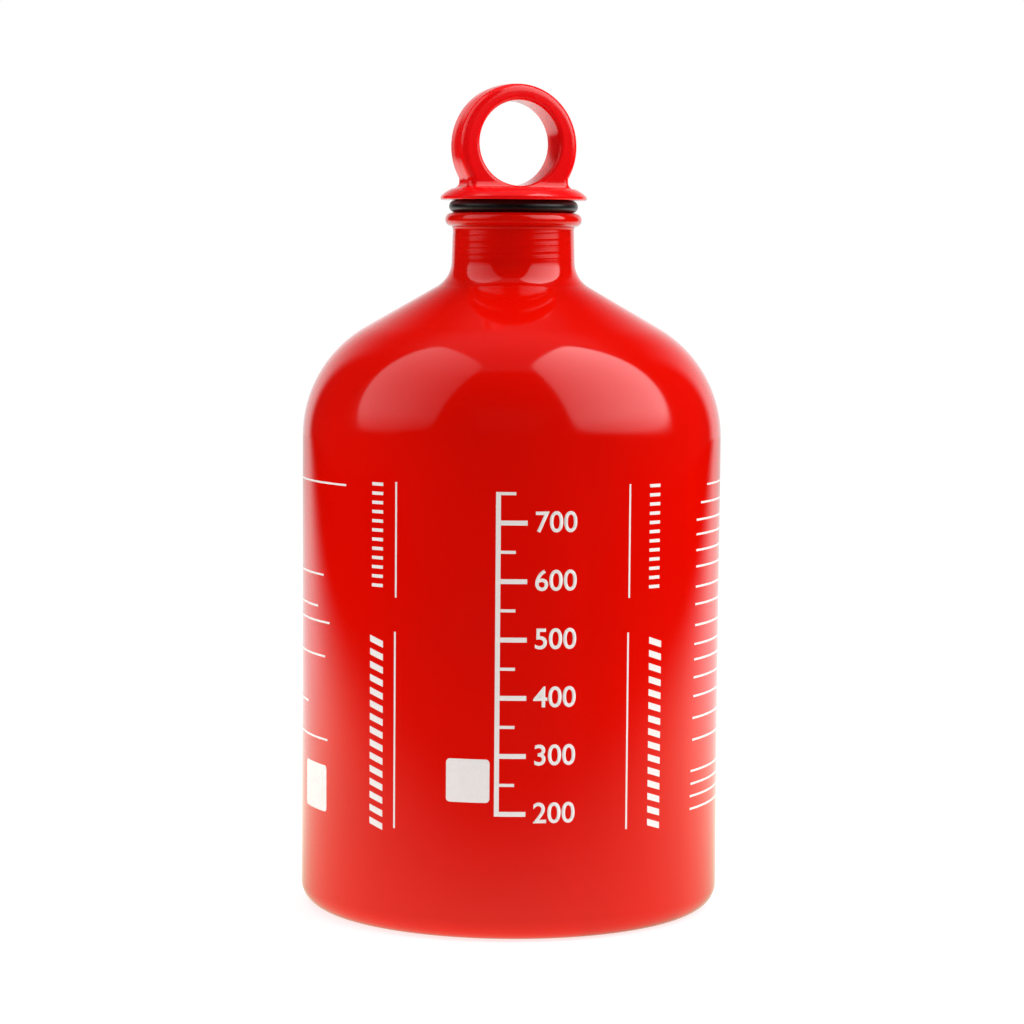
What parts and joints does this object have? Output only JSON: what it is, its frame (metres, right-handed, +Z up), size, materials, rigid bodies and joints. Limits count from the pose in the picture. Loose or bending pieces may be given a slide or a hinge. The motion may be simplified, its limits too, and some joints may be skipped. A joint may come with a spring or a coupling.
{
  "type": "fuel bottle",
  "caption": "Lacquered aluminium fuel bottle with sloping shoulders and a short neck, closed by a screw cap with a moulded carrying loop and a rubber sealing ring.",
  "frame": {"origin": "centre of the foot ring, on the plane that the bottle stands on", "axes": "+Z up along the bottle's axis, -Y towards the printed front, +X to the viewer's right"},
  "size_m": [0.1, 0.1, 0.196],
  "materials": {
    "lacquered_aluminium": "gloss",
    "seal_rubber": "satin",
    "moulded_plastic": "satin"
  },
  "bodies": {
    "bottle": {"bottle_shell": "lacquered_aluminium"},
    "seal": {"sealing_ring": "seal_rubber"},
    "cap": {"loop_cap": "moulded_plastic"}
  },
  "joints": [
    {"name": "cap_rise", "type": "slide", "parent": "bottle", "child": "seal", "axis": [0, 0, 1], "range_m": [0, 0.018]},
    {"name": "cap_turn", "type": "hinge", "parent": "seal", "child": "cap", "pos_m": [0, 0, 0.16842], "axis": [0, 0, 1], "range_deg": [0, 2160]}
  ],
  "couplings": [
    {"joint": "cap_rise", "follows": "cap_turn", "m_per_rad": 0.00047746}
  ]
}
